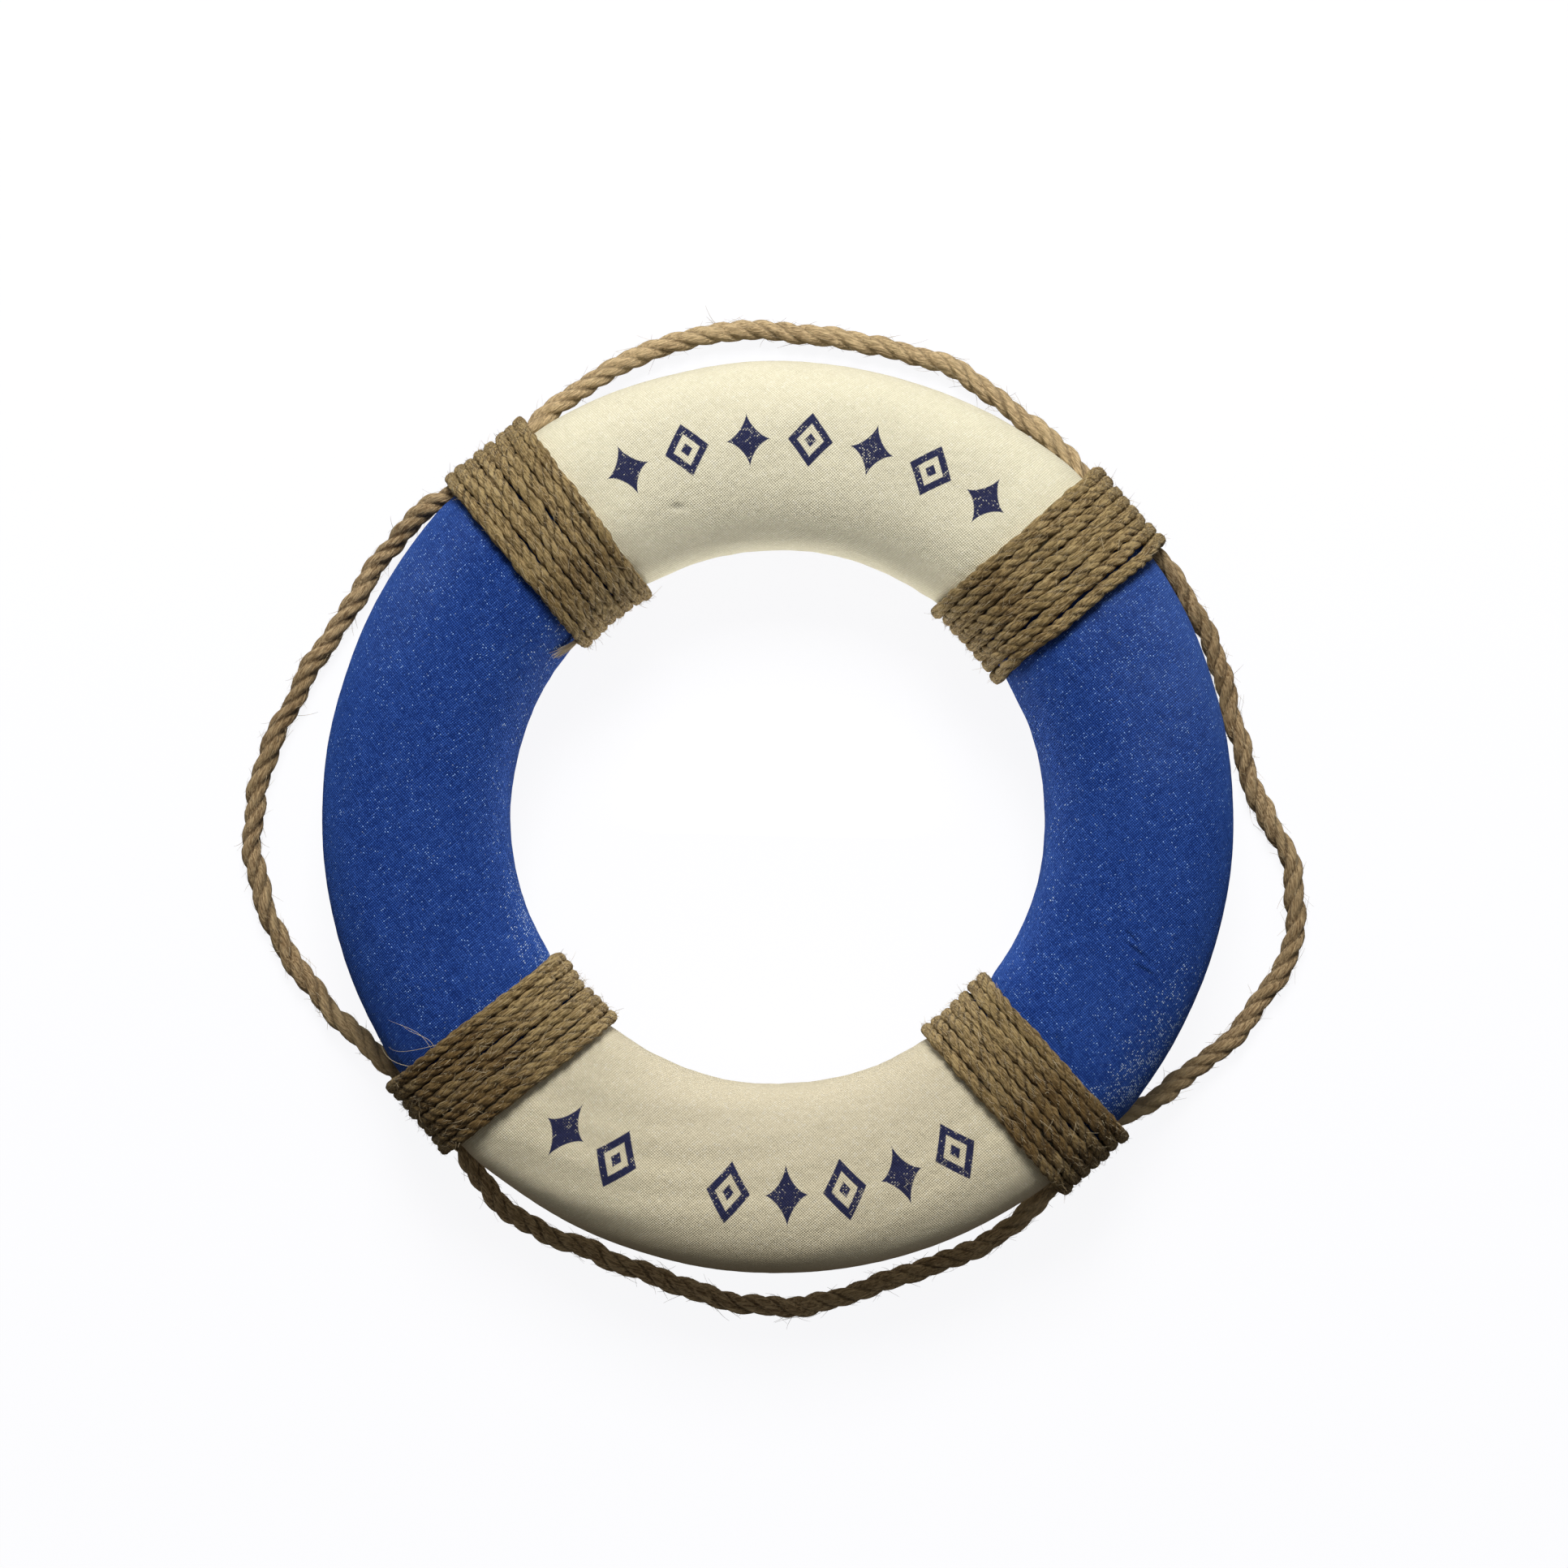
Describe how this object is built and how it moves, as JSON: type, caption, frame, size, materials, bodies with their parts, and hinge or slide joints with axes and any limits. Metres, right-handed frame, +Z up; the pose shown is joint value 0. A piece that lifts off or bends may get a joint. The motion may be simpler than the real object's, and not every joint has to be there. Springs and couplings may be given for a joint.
{
  "type": "ring lifebuoy",
  "caption": "Ring lifebuoy: a foam ring covered in cream and blue canvas panels, with jute cord lashings over the joints and a rope grab line looped around the outside.",
  "frame": {"origin": "on the ring's axis, on the plane that the undersides of the lashings rest on", "axes": "+Z up along the ring's axis, from the surface it lies on towards the face seen from above; +Y towards the middle of the upper cream panel; +X towards the right-hand blue panel"},
  "size_m": [0.4194, 0.3906, 0.0641],
  "materials": {
    "foam": "matte",
    "cream_canvas": "matte",
    "blue_canvas": "matte",
    "lashing_cord": "matte",
    "rope": "matte"
  },
  "bodies": {
    "root": {"foam_core": "foam", "canvas_cream_top": "cream_canvas", "canvas_blue_left": "blue_canvas", "canvas_cream_bottom": "cream_canvas", "canvas_blue_right": "blue_canvas", "lashing_top_right": "lashing_cord", "lashing_top_left": "lashing_cord", "lashing_bottom_left": "lashing_cord", "lashing_bottom_right": "lashing_cord", "grab_line": "rope"}
  },
  "joints": []
}
